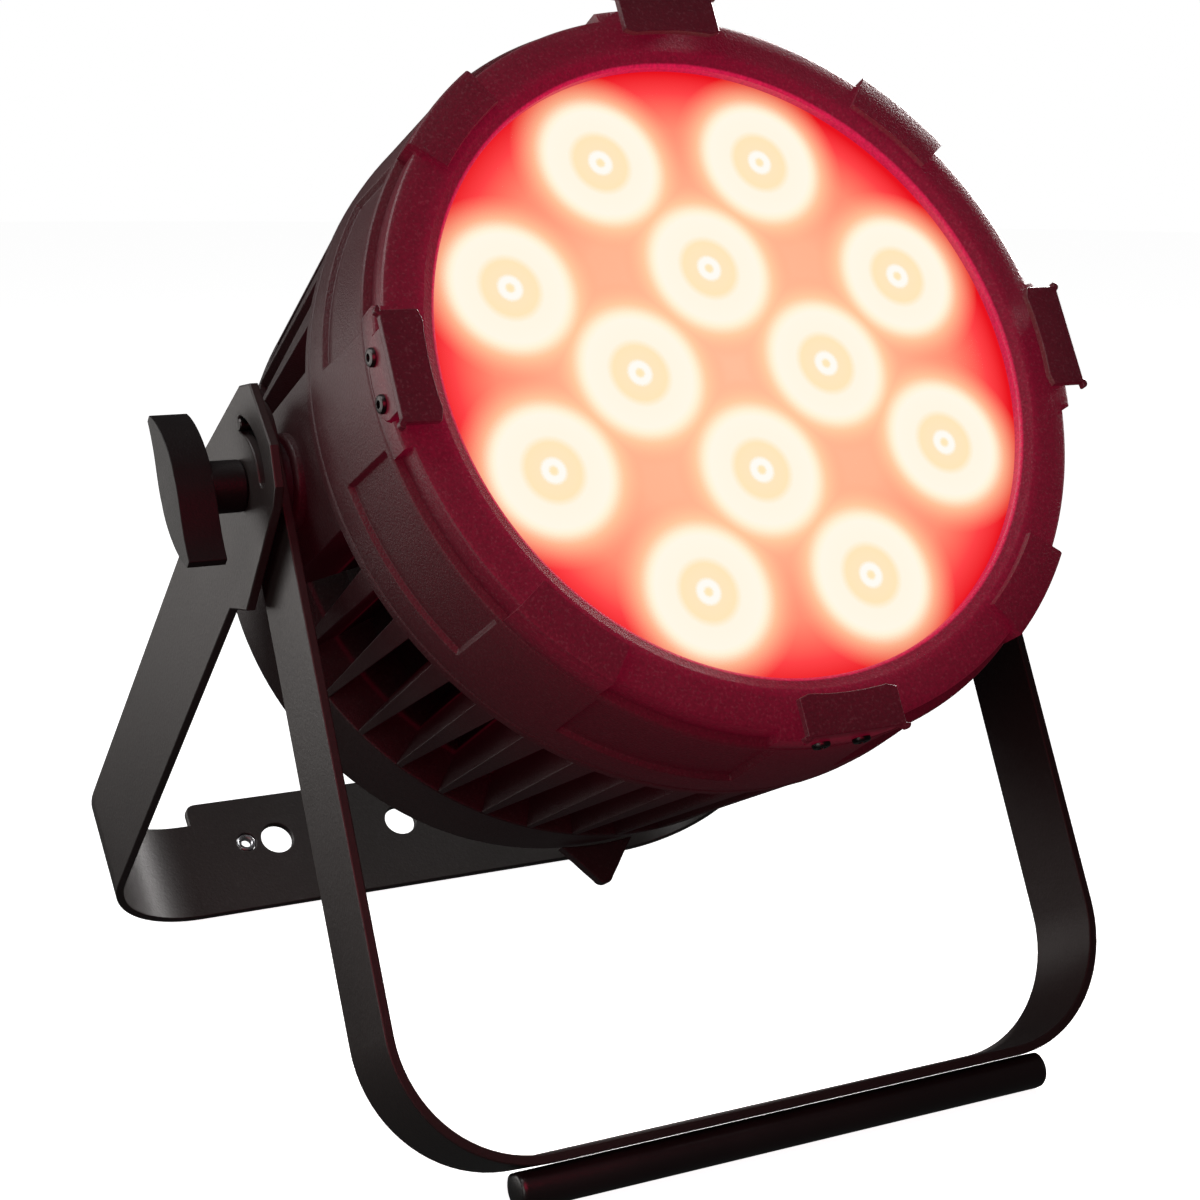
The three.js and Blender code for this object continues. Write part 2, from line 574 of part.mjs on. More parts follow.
function knobBody(sign) {
  const face = REAR.halfSpan + GAP;
  const hubEnd = face + KNOB.hubLength;
  const wingStart = hubEnd - 0.5;
  const wing = extruded(wingOutline(), KNOB.wingDepth, 6).rotateY(90 * DEG)
    .translate(sign > 0 ? wingStart : -wingStart - KNOB.wingDepth, 0, 0)
    .rotateX((HEAD_TILT - KNOB.lean) * DEG);
  const hub = rodAlongX(KNOB.hubRadius, sign * face, sign * hubEnd, 24);
  return geometryOf(joined(wing, hub));
}

for (const { name, sign } of SIDES) {
  const washer = ring(STUD_RADIUS + 0.6, WASHER_RADIUS, 0, FRONT.halfSpan - STRIP - BOSS.face - 2 * GAP, 24);
  const washerAt = sign > 0 ? BOSS.face + GAP : -(FRONT.halfSpan - STRIP - GAP);
  washer.rotateY(90 * DEG).translate(washerAt, 0, 0);
  frontGroup.add(named(`friction_washer_${name}`, washer, silicone));
  const pin = rodAlongX(PIN.radius, sign * (FRONT.halfSpan - STRIP), sign * (REAR.halfSpan + 0.8), 12);
  pin.translate(0, PIN.orbit, 0).rotateX(-PIN.turn * DEG);
  frontGroup.add(named(`stop_pin_${name}`, pin, steel));
  const between = REAR.halfSpan - STRIP - FRONT.halfSpan - 2 * GAP;
  const spacer = ring(STUD_RADIUS + 0.6, SPACER_RADIUS, 0, between, 24);
  spacer.rotateY(90 * DEG).translate(sign > 0 ? FRONT.halfSpan + GAP : -(REAR.halfSpan - STRIP - GAP), 0, 0);
  frontGroup.add(named(`spacer_washer_${name}`, spacer, silicone));
  head.add(named(`wing_knob_${name}`, knobBody(sign), blackPlastic));
  const stud = rodAlongX(STUD_RADIUS, sign * 110, sign * (REAR.halfSpan + 0.1));
  head.add(named(`knob_stud_${name}`, stud, steel));
}

export default parLight;
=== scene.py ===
"""Looks for the LED par can light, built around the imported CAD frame. Metres, +Z up, the lamp faces -Y.

The head and the two brackets are each drawn in millimetres from the pivot, and then tilted to the rest pose.
X runs along the pivot, the head faces its own +Z, and each bracket's bar lies at its own -Y.
"""
import json
import math

import bmesh
import bpy
from mathutils import Matrix, Vector


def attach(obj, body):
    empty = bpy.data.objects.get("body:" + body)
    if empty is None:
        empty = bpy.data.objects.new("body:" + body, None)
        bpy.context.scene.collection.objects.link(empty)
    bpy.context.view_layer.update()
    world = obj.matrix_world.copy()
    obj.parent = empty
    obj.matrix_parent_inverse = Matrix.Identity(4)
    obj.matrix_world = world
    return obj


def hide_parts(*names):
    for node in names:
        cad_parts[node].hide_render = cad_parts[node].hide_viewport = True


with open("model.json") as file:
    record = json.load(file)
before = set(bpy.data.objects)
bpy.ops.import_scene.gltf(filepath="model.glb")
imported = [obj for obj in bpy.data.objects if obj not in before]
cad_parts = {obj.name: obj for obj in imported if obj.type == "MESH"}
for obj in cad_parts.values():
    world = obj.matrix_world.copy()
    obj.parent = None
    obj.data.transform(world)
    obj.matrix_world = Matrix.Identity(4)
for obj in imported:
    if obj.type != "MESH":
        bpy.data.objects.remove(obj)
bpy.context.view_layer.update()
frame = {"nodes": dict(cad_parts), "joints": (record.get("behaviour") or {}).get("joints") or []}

MM = 0.001
PIVOT = Vector(next(j["pos_m"] for j in frame["joints"] if j["name"] == "head_tilt"))


def tilted(degrees):
    """The pivot's frame turned from 'up is +Y' to a group's rest pose."""
    return Matrix.Translation(PIVOT) @ Matrix.Rotation(math.radians(90 - degrees), 4, "X")


HEAD_TILT = 29.2
HEAD = tilted(HEAD_TILT)
FRONT = tilted(27)
REAR = tilted(-45)

# ------------------------------------------------------------------ camera
CAMERA_AT = (-0.3724, -0.6924, 0.3089)
YAW, PITCH, ROLL = math.radians(-28.83), math.radians(-11.83), math.radians(0.51)
forward = Vector((-math.sin(YAW) * math.cos(PITCH), math.cos(YAW) * math.cos(PITCH), math.sin(PITCH)))
level = Vector((math.cos(YAW), math.sin(YAW), 0))
upward = level.cross(forward)
right = level * math.cos(ROLL) + upward * math.sin(ROLL)
camera_data = bpy.data.cameras.new("camera")
camera_data.sensor_width = 36
camera_data.lens = 69.64
camera_data.clip_start = 0.02
camera = bpy.data.objects.new("camera", camera_data)
bpy.context.scene.collection.objects.link(camera)
turn = Matrix((right, right.cross(forward), -forward)).transposed().to_4x4()
camera.matrix_world = Matrix.Translation(CAMERA_AT) @ turn
bpy.context.scene.camera = camera
bpy.context.scene.view_settings.view_transform = "Standard"

# ------------------------------------------------------------------ materials


class Nodes:
    """A few words for building one material's node tree."""

    def __init__(self, name):
        self.material = bpy.data.materials.new(name)
        self.material.use_nodes = True
        self.tree = self.material.node_tree
        self.shader = self.tree.nodes["Principled BSDF"]
        self.coords = self.tree.nodes.new("ShaderNodeTexCoord").outputs["Object"]

    def add(self, kind, **settings):
        node = self.tree.nodes.new(kind)
        for key, value in settings.items():
            setattr(node, key, value)
        return node

    def link(self, a, b):
        self.tree.links.new(a, b)

    def feed(self, socket, value):
        if isinstance(value, bpy.types.NodeSocket):
            self.link(value, socket)
        else:
            socket.default_value = value

    def math(self, operation, a, b=0.0):
        node = self.add("ShaderNodeMath", operation=operation)
        for socket, value in zip(node.inputs, (a, b)):
            self.feed(socket, value)
        return node.outputs[0]

    def noise(self, scale, detail=3.0, stretch=None, rough=0.5):
        coords = self.coords
        if stretch:
            mapping = self.add("ShaderNodeMapping")
            mapping.inputs["Scale"].default_value = stretch
            self.link(coords, mapping.inputs["Vector"])
            coords = mapping.outputs["Vector"]
        node = self.add("ShaderNodeTexNoise")
        node.inputs["Scale"].default_value = scale
        node.inputs["Detail"].default_value = detail
        node.inputs["Roughness"].default_value = rough
        self.link(coords, node.inputs["Vector"])
        return node.outputs["Fac"]

    def ramp(self, factor, stops):
        node = self.add("ShaderNodeValToRGB")
        elements = node.color_ramp.elements
        while len(elements) < len(stops):
            elements.new(0.5)
        for element, (position, colour) in zip(elements, stops):
            element.position = position
            element.color = (*colour, 1)
        self.link(factor, node.inputs["Fac"])
        return node.outputs["Color"]

    def span(self, factor, low, high, start=0.3, stop=0.7):
        node = self.add("ShaderNodeMapRange")
        for key, value in (("From Min", start), ("From Max", stop), ("To Min", low), ("To Max", high)):
            node.inputs[key].default_value = value
        self.link(factor, node.inputs["Value"])
        return node.outputs["Result"]

    def bump(self, height, distance):
        node = self.add("ShaderNodeBump")
        node.inputs["Strength"].default_value = 1.0
        node.inputs["Distance"].default_value = distance
        self.link(height, node.inputs["Height"])
        return node.outputs["Normal"]


# Painted red glow: the lamp's red light on its own casting, drawn as emission in the coat, as (millimetres,
# level) along the head's axis and across it.
PAINTED_GLOW_ALONG = (
    (-110, 0.0012), (-52, 0.002), (0, 0.005), (28, 0.012), (36, 0.024), (60, 0.034), (72, 0.046),
    (75, 0.085), (80.6, 0.115), (83, 0.085), (88, 0.05),
)
PAINTED_GLOW_TINT = (1.0, 0.012, 0.10)
PAINTED_GLOW_ACROSS = (
    (80, 0.03), (98, 0.4), (98.9, 6), (99.7, 6), (100.3, 1.7), (103.2, 1.6), (106, 1.15), (118, 0.85),
)


def painted_lamp_glow(n, strength):
    """Paints the red light that the head's own face spills on it as emission, strongest at the face and
    fading away from it.
    """
    axis = (HEAD.to_3x3() @ Vector((0, 0, 1))).normalized()
    place = n.add("ShaderNodeVectorMath", operation="SUBTRACT")
    n.link(n.coords, place.inputs[0])
    place.inputs[1].default_value = PIVOT
    along = n.add("ShaderNodeVectorMath", operation="DOT_PRODUCT")
    n.link(place.outputs[0], along.inputs[0])
    along.inputs[1].default_value = axis
    across = n.add("ShaderNodeVectorMath", operation="CROSS_PRODUCT")
    n.link(place.outputs[0], across.inputs[0])
    across.inputs[1].default_value = axis
    radius = n.add("ShaderNodeVectorMath", operation="LENGTH")
    n.link(across.outputs[0], radius.inputs[0])

    def scaled(value, stops):
        low, high = stops[0][0], stops[-1][0]
        peak = max(level for _, level in stops)
        fraction = n.span(value, 0.0, 1.0, low * MM, high * MM)
        ramp = n.ramp(fraction, [((at - low) / (high - low), (level / peak,) * 3) for at, level in stops])
        return n.math("MULTIPLY", ramp, peak)

    near = scaled(along.outputs["Value"], PAINTED_GLOW_ALONG)
    level = n.math("MULTIPLY", near, scaled(radius.outputs["Value"], PAINTED_GLOW_ACROSS))
    level = n.math("MULTIPLY", level, n.span(n.noise(1100, 2.0), 0.8, 1.2))
    tint = n.add("ShaderNodeVectorMath", operation="SCALE")
    tint.inputs[0].default_value = PAINTED_GLOW_TINT
    n.link(level, tint.inputs["Scale"])
    # painted light: the glow is emission colour set by place on the head, not light from a lamp
    n.link(tint.outputs[0], n.shader.inputs["Emission Color"])
    n.shader.inputs["Emission Strength"].default_value = strength


def coated(name, dark, light, grain, depth, rough, patch=18, metallic=0.0, specular=0.5, stretch=None,
           speck=0.0, glow=0.0):
    """A fine grain of a depth in metres, a slow drift in colour and gloss, pale specks, and, where glow is
    set, the lamp's red light painted on as emission.
    """
    n = Nodes(name)
    # glow paints the lamp's red light on the coat as emission
    if glow:
        painted_lamp_glow(n, glow)
    fine = n.noise(grain, 2.0, stretch, 0.6)
    slow = n.noise(patch, 4.0)
    colour = n.ramp(slow, ((0.3, dark), (0.7, light)))
    if speck:
        flecks = n.ramp(n.noise(grain * 0.8, 1.0), ((0.56, (0, 0, 0)), (0.72, (speck, speck, speck))))
        mix = n.add("ShaderNodeMix", data_type="RGBA", blend_type="ADD")
        mix.inputs["Factor"].default_value = 1.0
        n.link(colour, mix.inputs["A"])
        n.link(flecks, mix.inputs["B"])
        colour = mix.outputs["Result"]
    n.link(colour, n.shader.inputs["Base Color"])
    blend = n.math("ADD", n.math("MULTIPLY", fine, 0.5), n.math("MULTIPLY", slow, 0.5))
    n.link(n.span(blend, rough[0], rough[1]), n.shader.inputs["Roughness"])
    n.link(n.bump(fine, depth), n.shader.inputs["Normal"])
    n.shader.inputs["Metallic"].default_value = metallic
    n.shader.inputs["Specular IOR Level"].default_value = specular
    return n.material


BRUSHED = {"metallic": 1.0, "stretch": (1, 1, 0.08)}
COATS = {
    # head_coat and ring_coat carry the painted red glow of the lamp
    "head": coated("head_coat", (0.018, 0.013, 0.013), (0.030, 0.022, 0.021), 1500, 0.00022, (0.42, 0.6),
                   speck=0.018, glow=1.0),
    "ring": coated("ring_coat", (0.012, 0.009, 0.010), (0.019, 0.014, 0.015), 1250, 0.00016, (0.34, 0.52),
                   speck=0.03, glow=0.9),
    "bracket": coated("bracket_paint", (0.020, 0.0165, 0.0155), (0.028, 0.023, 0.022), 900, 0.00006,
                      (0.36, 0.48), patch=9, specular=0.45, speck=0.004),
    "foot": coated("foot_rubber", (0.009, 0.009, 0.009), (0.014, 0.014, 0.014), 900, 0.00003, (0.3, 0.42),
                   patch=30, specular=0.7),
    "knob": coated("knob_plastic", (0.006, 0.0055, 0.0055), (0.010, 0.009, 0.009), 1400, 0.0001,
                   (0.36, 0.5), patch=40, specular=0.3),
    "steel": coated("zinc_steel", (0.48, 0.48, 0.5), (0.66, 0.66, 0.68), 900, 0.00005, (0.22, 0.4),
                    patch=60, **BRUSHED),
    "dark_steel": coated("black_zinc_steel", (0.045, 0.040, 0.040), (0.085, 0.078, 0.078), 900, 0.00005,
                         (0.25, 0.42), patch=60, **BRUSHED),
    "seal": coated("seal_rubber", (0.012, 0.012, 0.013), (0.02, 0.02, 0.022), 1100, 0.00008, (0.6, 0.75),
                   patch=50),
    "socket": coated("socket_plastic", (0.010, 0.010, 0.011), (0.017, 0.017, 0.018), 1600, 0.0001,
                     (0.4, 0.55), patch=60),
    "panel": coated("panel_film", (0.012, 0.012, 0.014), (0.018, 0.018, 0.021), 2200, 0.00004, (0.3, 0.4),
                    patch=25),
    "button": coated("button_rubber", (0.03, 0.03, 0.033), (0.045, 0.045, 0.048), 1500, 0.00008,
                     (0.55, 0.7), patch=80),
}


def lens_plastic():
    n = Nodes("lens_plastic")
    tone = n.ramp(n.noise(120, 2.0), ((0.3, (0.9, 0.8, 0.62)), (0.7, (1.0, 0.9, 0.74))))
    n.link(tone, n.shader.inputs["Base Color"])
    n.link(n.span(n.noise(300, 2.0), 0.08, 0.2), n.shader.inputs["Roughness"])
    n.shader.inputs["Emission Color"].default_value = (1.0, 0.72, 0.45, 1)
    n.shader.inputs["Emission Strength"].default_value = 0.6
    n.shader.inputs["IOR"].default_value = 1.49
    return n.material


def display_glass():
    n = Nodes("display_glass")
    cells = n.add("ShaderNodeTexBrick")
    cells.offset = 0
    for key, value in (("Scale", 420.0), ("Mortar Size", 0.02), ("Brick Width", 0.5), ("Row Height", 0.5)):
        cells.inputs[key].default_value = value
    cells.inputs["Color1"].default_value = (0.006, 0.02, 0.05, 1)
    cells.inputs["Color2"].default_value = (0.009, 0.028, 0.066, 1)
    cells.inputs["Mortar"].default_value = (0.003, 0.008, 0.02, 1)
    n.link(n.coords, cells.inputs["Vector"])
    n.link(cells.outputs["Color"], n.shader.inputs["Base Color"])
    n.link(n.span(n.noise(200, 2.0), 0.04, 0.12), n.shader.inputs["Roughness"])
    return n.material


def circuit(name, mask, copper, pads):
    """Solder mask with tracks under it and small pads."""
    n = Nodes(name)
    cells = n.add("ShaderNodeTexVoronoi", feature="F1", distance="MANHATTAN")
    cells.inputs["Scale"].default_value = pads
    n.link(n.coords, cells.inputs["Vector"])
    tone = n.ramp(cells.outputs["Distance"], ((0.10, copper), (0.16, mask), (0.9, mask)))
    n.link(tone, n.shader.inputs["Base Color"])
    n.link(n.span(cells.outputs["Distance"], 0.25, 0.5, 0.05, 0.4), n.shader.inputs["Roughness"])
    n.link(n.bump(n.noise(700, 2.0), 0.00008), n.shader.inputs["Normal"])
    return n.material


# The two rings of lenses: how many, the first one's angle in degrees, and millimetres from the head's axis.
LED_RINGS = ((8, 22.5, 74.5), (4, 0, 33))


def lit_glass():
    """Frosted cover glass, lit by the lens discs behind it. Coordinates are the head's own, from its axis."""
    lit_reach, fade_start, fade_stop = 0.040, 0.0185, 0.0300  # metres from a disc's centre
    n = Nodes("lit_glass")
    split = n.add("ShaderNodeSeparateXYZ")
    n.link(n.coords, split.inputs[0])
    x, y = split.outputs["X"], split.outputs["Y"]
    radius = n.math("SQRT", n.math("ADD", n.math("MULTIPLY", x, x), n.math("MULTIPLY", y, y)))
    angle = n.math("ARCTAN2", y, x)

    def from_centre(count, start, reach):
        step = 2 * math.pi / count
        turned = n.math("ADD", angle, step / 2 - math.radians(start))
        folded = n.math("SUBTRACT", n.math("FLOORED_MODULO", turned, step), step / 2)
        across = n.math("SUBTRACT", n.math("MULTIPLY", radius, n.math("COSINE", folded)), reach * MM)
        along = n.math("MULTIPLY", radius, n.math("SINE", folded))
        squares = n.math("ADD", n.math("MULTIPLY", across, across), n.math("MULTIPLY", along, along))
        return n.math("SQRT", squares)

    nearest = n.math("MINIMUM", from_centre(*LED_RINGS[0]), from_centre(*LED_RINGS[1]))
    nearest = n.math("ADD", nearest, n.math("MULTIPLY", n.math("SUBTRACT", n.noise(2600, 1.0), 0.5), 0.0010))
    disc = n.ramp(n.math("DIVIDE", nearest, lit_reach), (
        (0.000, (1.0, 0.80, 0.48)), (0.025, (1.0, 0.82, 0.52)), (0.048, (1.0, 0.97, 0.90)),
        (0.085, (1.0, 0.97, 0.90)), (0.115, (1.0, 0.80, 0.52)), (0.215, (1.0, 0.80, 0.50)),
        (0.275, (1.0, 0.93, 0.78)), (0.430, (1.0, 0.94, 0.80)), (0.490, (1.0, 0.90, 0.66)),
        (0.560, (1.0, 0.66, 0.38)), (0.70, (1.0, 0.42, 0.24)), (1.0, (1.0, 0.40, 0.24)),
    ))
    ground = n.ramp(n.math("DIVIDE", radius, 0.1), (
        (0.0, (1.0, 0.52, 0.33)), (0.55, (1.0, 0.46, 0.28)), (0.80, (1.0, 0.27, 0.17)),
        (0.93, (1.0, 0.055, 0.06)), (1.0, (0.80, 0.006, 0.012)),
    ))
    halo = n.math("SUBTRACT", 1.0, n.span(nearest, 0.0, 1.0, fade_start, fade_stop))
    mix = n.add("ShaderNodeMix", data_type="RGBA")
    n.link(halo, mix.inputs["Factor"])
    n.link(ground, mix.inputs["A"])
    n.link(disc, mix.inputs["B"])
    n.link(mix.outputs["Result"], n.shader.inputs["Emission Color"])
    n.shader.inputs["Base Color"].default_value = (0.02, 0.002, 0.002, 1)
    n.shader.inputs["Emission Strength"].default_value = 1.0
    n.link(n.span(n.noise(1800, 1.0), 0.25, 0.4), n.shader.inputs["Roughness"])
    return n.material


MATERIALS = {
    **COATS, "lens": lens_plastic(), "display": display_glass(), "glass": lit_glass(),
    "board": circuit("white_board", (0.62, 0.62, 0.6), (0.7, 0.5, 0.25), 260),
    "driver": circuit("green_board", (0.01, 0.09, 0.03), (0.6, 0.58, 0.5), 300),
}

# ------------------------------------------------------------------ mesh building


def finished(name, bm, place, body, look, replaces, bevel=0.0, steps=2, sharp=32, own_axes=False):
    """Turns a bmesh in a group's own millimetres into a piece that rides on a body."""
    bmesh.ops.remove_doubles(bm, verts=bm.verts, dist=1e-4)
    bmesh.ops.dissolve_degenerate(bm, edges=bm.edges, dist=1e-4)
    bmesh.ops.recalc_face_normals(bm, faces=bm.faces)
    bmesh.ops.scale(bm, vec=(MM, MM, MM), verts=bm.verts)
    if not own_axes:
        bmesh.ops.transform(bm, matrix=place, verts=bm.verts)
    mesh = bpy.data.meshes.new(name)
    bm.to_mesh(mesh)
    bm.free()
    mesh.shade_smooth()
    mesh.set_sharp_from_angle(angle=math.radians(sharp))
    mesh.materials.append(MATERIALS[look])
    piece = bpy.data.objects.new(name, mesh)
    bpy.context.scene.collection.objects.link(piece)
    if own_axes:
        piece.matrix_world = place
    if bevel:
        rounding = piece.modifiers.new("rounding", "BEVEL")
        rounding.width = bevel * MM
        rounding.segments = steps
        rounding.limit_method = "ANGLE"
        rounding.angle_limit = math.radians(sharp)
        rounding.harden_normals = True
    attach(piece, body)
    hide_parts(*replaces)


def add_faces(bm, points, faces):
    verts = [bm.verts.new(p) for p in points]
    for face in faces:
        corners = [verts[i] for i in face]
        if len(set(corners)) > 2:
            bm.faces.new(corners)


def add_stations(bm, stations):
    """A closed ring through profiles [(radius, z), ...], one at each angle in degrees, all of one length."""
    points = []
    for angle, profile in stations:
        c, s = math.cos(math.radians(angle)), math.sin(math.radians(angle))
        points += [(r * c, r * s, z) for r, z in profile]
    width = len(stations[0][1])
    faces = []
    for i in range(len(stations)):
        j = (i + 1) % len(stations)
        for k in range(width):
            m = (k + 1) % width
            faces.append((i * width + k, i * width + m, j * width + m, j * width + k))
    add_faces(bm, points, faces)


def add_turned(bm, profile, segments, matrix=None):
    """A body of revolution about Z, from an outline [(radius, z), ...] that may touch the axis."""
    start = len(bm.verts)
    rings = []
    for r, z in profile:
        if r < 1e-6:
            rings.append([bm.verts.new((0, 0, z))] * segments)
            continue
        angles = [2 * math.pi * i / segments for i in range(segments)]
        rings.append([bm.verts.new((r * math.cos(a), r * math.sin(a), z)) for a in angles])
    pairs = list(zip(rings, rings[1:]))
    if profile[0][0] > 1e-6:
        pairs.append((rings[-1], rings[0]))
    for a, b in pairs:
        for i in range(segments):
            j = (i + 1) % segments
            corners = [a[i], a[j], b[j], b[i]]
            unique = [v for k, v in enumerate(corners) if v not in corners[:k]]
            if len(unique) > 2:
                bm.faces.new(unique)
    if matrix is not None:
        bm.verts.ensure_lookup_table()
        bmesh.ops.transform(bm, matrix=matrix, verts=bm.verts[start:])


def add_prism(bm, outline, low, high, matrix=None):
    """A flat outline [(x, y), ...] given thickness along Z."""
    count = len(outline)
    points = [(x, y, low) for x, y in outline] + [(x, y, high) for x, y in outline]
    if matrix is not None:
        points = [matrix @ Vector(p) for p in points]
    faces = [tuple(range(count - 1, -1, -1)), tuple(range(count, 2 * count))]
    faces += [(i, (i + 1) % count, (i + 1) % count + count, i + count) for i in range(count)]
    add_faces(bm, points, faces)


def arc(cx, cy, radius, start, stop, steps):
    angles = [math.radians(start + (stop - start) * i / steps) for i in range(steps + 1)]
    return [(cx + radius * math.cos(a), cy + radius * math.sin(a)) for a in angles]


def rounded(half_x, half_y, corner, steps=6, cx=0.0, cy=0.0):
    w, h = half_x - corner, half_y - corner
    return (arc(cx + w, cy + h, corner, 0, 90, steps) + arc(cx - w, cy + h, corner, 90, 180, steps)
            + arc(cx - w, cy - h, corner, 180, 270, steps) + arc(cx + w, cy - h, corner, 270, 360, steps))


def about_z(angle):
    return Matrix.Rotation(math.radians(angle), 4, "Z")


def along_x(x):
    """Stands a body of revolution's Z axis along X, starting at x."""
    return Matrix.Translation((x, 0, 0)) @ Matrix.Rotation(math.radians(90), 4, "Y")


# ------------------------------------------------------------------ bezel ring
FACE = 80.6  # the ring's front plane, from the pivot
PLACES = (("right", 0), ("top", 90), ("left", 180), ("bottom", 270))


def bezel_profile(kind, offset):
    """Half section of the ring as plain, pad, rim or pocket, offset degrees from that feature's middle."""
    raised = 2.0 if kind == "pad" else 0.0
    outer = 115.5 if kind == "plain" else 118.3
    front = 115.5 if kind in ("plain", "pocket") else 118.3
    floor_z = 72.9
    if kind == "pocket":
        floor_z = 78.8 - 6.0 * math.sqrt(max(0.0, 1 - (offset / 6.4) ** 2))
    return [
        (105, 72.3), (105, 75.8), (99.1, 75.8), (99.1, 78.3), (99.4, 78.7), (99.9, 78.95), (101.5, 79.75),
        (102.7, 80.35), (103.0, 80.52), (103.3, FACE), (105, FACE), (105.5, FACE + raised),
        (110, FACE + raised), (front - 1.3, FACE + raised), (front - 0.5, FACE + raised - 0.3),
        (front - 0.05, FACE + raised - 0.9), (front, FACE + raised - 1.6), (front, floor_z + 0.001),
        (outer, floor_z), (outer, 72.3),
    ]


def bezel():
    stations = []

    def run(kind, middle, start, stop, steps):
        for i in range(steps + 1):
            offset = start + (stop - start) * i / steps
            stations.append((middle + offset, bezel_profile(kind, offset)))

    for _, middle in PLACES:
        run("pocket", middle, -6.4, 6.4, 16)
        run("rim", middle, 6.4, 10.5, 3)
        run("plain", middle, 10.5, 36.8, 16)
        run("pad", middle + 45, -8.2, 8.2, 10)
        run("plain", middle + 90, -36.8, -10.5, 16)
        run("rim", middle + 90, -10.5, -6.4, 3)
    bm = bmesh.new()
    add_stations(bm, stations)
    finished("bezel_ring_visual", bm, HEAD, "head", "ring", ["bezel_ring"], bevel=0.3)


def housing():
    """The collar behind the ring, with eight shallow panels in its side."""
    def surface(z):
        return 121 - 2.5 * (z - 33.3) / (72 - 33.3)

    def profile(sunk):
        return [
            (115, 33.3), (120.2, 33.3), (120.8, 33.6), (121, 34.2), (surface(43), 43),
            (surface(43.6) - sunk, 43.6), (surface(69.2) - sunk, 69.2), (surface(70), 70),
            (surface(71.3), 71.3), (118.1, 71.9), (117.4, 72), (105.2, 72), (105.2, 68.9), (97, 68.9),
            (97, 65.5), (112, 58),
        ]

    stations = []
    for i in range(8):
        middle = 22.5 + 45 * i
        for kind, start, stop, steps in (("panel", -13.5, 13.5, 14), ("rib", 13.9, 31.1, 9)):
            sunk = 2.0 if kind == "panel" else 0.0
            for k in range(steps + 1):
                stations.append((middle + start + (stop - start) * k / steps, profile(sunk)))
    bm = bmesh.new()
    add_stations(bm, stations)
    finished("front_housing_visual", bm, HEAD, "head", "head", ["front_housing"], bevel=0.35)


def holders():
    """Four bent straps that hold an accessory frame, each a flange, a leg and two screws."""
    for name, angle in PLACES:
        bm = bmesh.new()
        spin = about_z(angle)
        inner = arc(0, 0, 106.4, -9.0, 9.0, 10)
        flange = [(117.6, 16.8)] + arc(118.0, 16.9, 1.5, 100, -60, 6) + [(118.3, 15.2), (118.3, -15.2)]
        flange += arc(118.0, -16.9, 1.5, 60, -100, 6) + [(117.6, -16.8), (106.6, -16.8)]
        flange += inner[1:-1] + [(106.6, 16.8)]
        add_prism(bm, flange, 85.4, 87.8, spin)
        finished(f"holder_flange_{name}", bm, HEAD, "head", "ring",
                 [f"accessory_holder_{name}"], bevel=0.35)
        bm = bmesh.new()
        leg = [(12.5, 85.6), (12.5, 79.0)] + arc(0, 78.9, 12.5, 0, -180, 14)[1:-1]
        leg += [(-12.5, 79.0), (-12.5, 85.6)]
        leg = [(a, 78.9 + (b - 78.9) * 0.488 if b < 78.9 else b) for a, b in leg]
        upright = spin @ Matrix(((0, 0, 1, 0), (1, 0, 0, 0), (0, 1, 0, 0), (0, 0, 0, 1)))
        add_prism(bm, leg, 115.8, 118.25, upright)
        finished(f"holder_leg_{name}", bm, HEAD, "head", "ring",
                 [f"accessory_holder_{name}"], bevel=0.35)
        for tag, spread in (("a", -7), ("b", 7)):
            bm = bmesh.new()
            place = spin @ Matrix.Translation((0, spread, 77.6)) @ along_x(110.5)
            add_turned(bm, ((0, 0), (1.5, 0), (1.5, 7.9), (2.8, 7.9), (2.8, 8.6), (2.5, 9.1), (1.9, 9.3),
                            (1.25, 9.3), (1.2, 8.3), (0, 8.3)), 24, place)
            finished(f"holder_screw_visual_{name}_{tag}", bm, HEAD, "head", "dark_steel",
                     [f"holder_screw_{name}_{tag}"])


def glass_and_lenses():
    bm = bmesh.new()
    add_turned(bm, ((0, 71.5), (104, 71.5), (104, 73.3), (103.8, 73.5), (60, 73.5), (0, 73.5)), 128)
    finished("front_glass_visual", bm, HEAD, "head", "glass", ["front_glass"], own_axes=True)
    places = [(reach, start + 360 / count * i) for count, start, reach in LED_RINGS for i in range(count)]
    for i, (reach, angle) in enumerate(places):
        bm = bmesh.new()
        spot = about_z(angle) @ Matrix.Translation((reach, 0, 0))
        add_turned(bm, ((0, 50.2), (8, 50.2), (13, 56), (17.6, 63.5), (19.4, 67.9), (19.4, 70.4),
                        (18.8, 70.9), (9.6, 70.9), (8.8, 70.2), (8.2, 68.6), (4.6, 68.0), (4.2, 69.6),
                        (3.4, 70.3), (2.4, 70.3), (1.8, 69.6), (1.5, 68.4), (0, 68.2)), 40, spot)
        finished(f"led_lens_visual_{i + 1:02d}", bm, HEAD, "head", "lens",
                 [f"led_lens_{i + 1:02d}"])


# ------------------------------------------------------------------ heat sink, rear cap, lug
RIBS = 44
CHEEK_HALF_ANGLE = 12.3  # degrees of the solid cheek under each pivot boss


